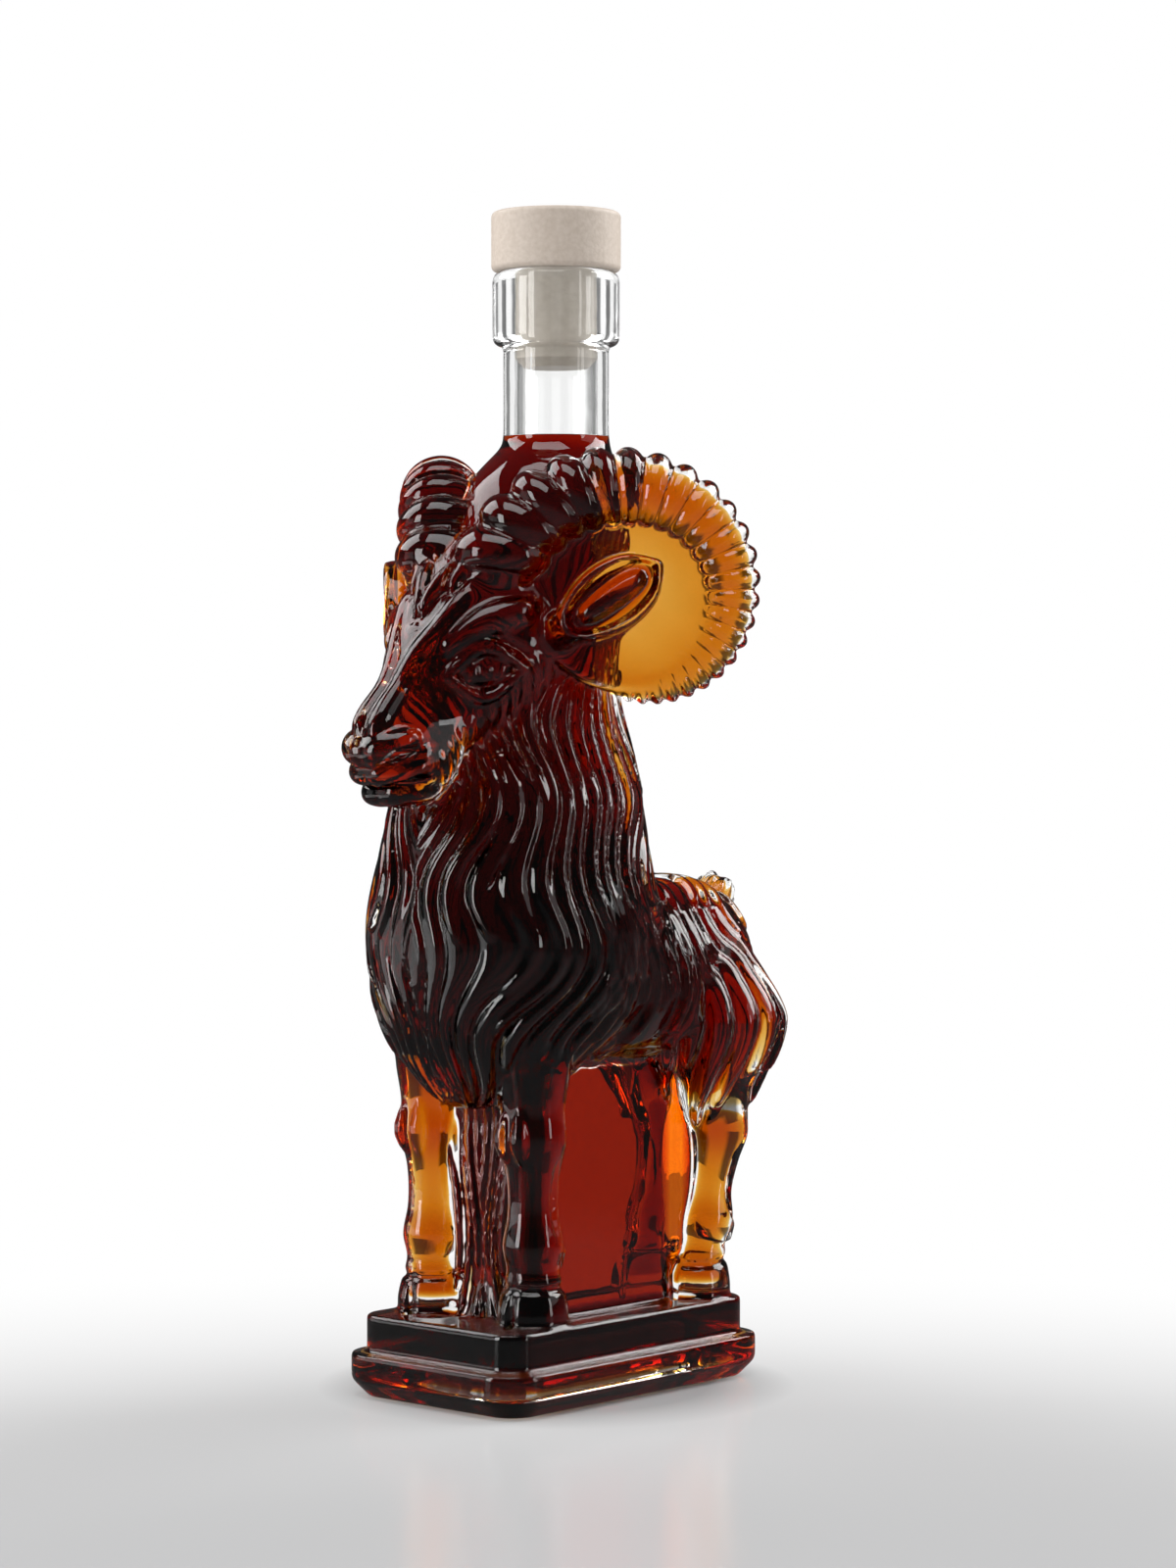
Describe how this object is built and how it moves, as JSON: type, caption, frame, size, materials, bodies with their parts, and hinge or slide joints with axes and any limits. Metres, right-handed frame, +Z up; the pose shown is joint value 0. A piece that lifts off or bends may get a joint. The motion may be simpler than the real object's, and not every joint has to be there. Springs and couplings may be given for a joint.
{
  "type": "figural liquor decanter",
  "caption": "Glass bottle in the form of a standing ram with curled ribbed horns on a stepped plinth, filled with amber liquor and closed by a pull-out bar-top stopper.",
  "frame": {"origin": "middle of the plinth's flat underside, on the axis of the bottle's neck", "axes": "+Z up along the neck, -Y the way the ram faces, +X its left side"},
  "size_m": [0.1034, 0.1236, 0.2677],
  "materials": {
    "clear_glass": "clear, gloss",
    "amber_liquor": "clear dark amber liquid",
    "beige_head": "fine matt, pale beige",
    "pale_shank": "matt synthetic cork"
  },
  "bodies": {
    "bottle": {"glass_vessel": "clear_glass", "liquor": "amber_liquor"},
    "stopper": {"stopper_head": "beige_head", "stopper_shank": "pale_shank"}
  },
  "joints": [
    {"name": "stopper_pull", "type": "slide", "parent": "bottle", "child": "stopper", "axis": [0, 0, 1], "range_m": [0, 0.03]}
  ]
}
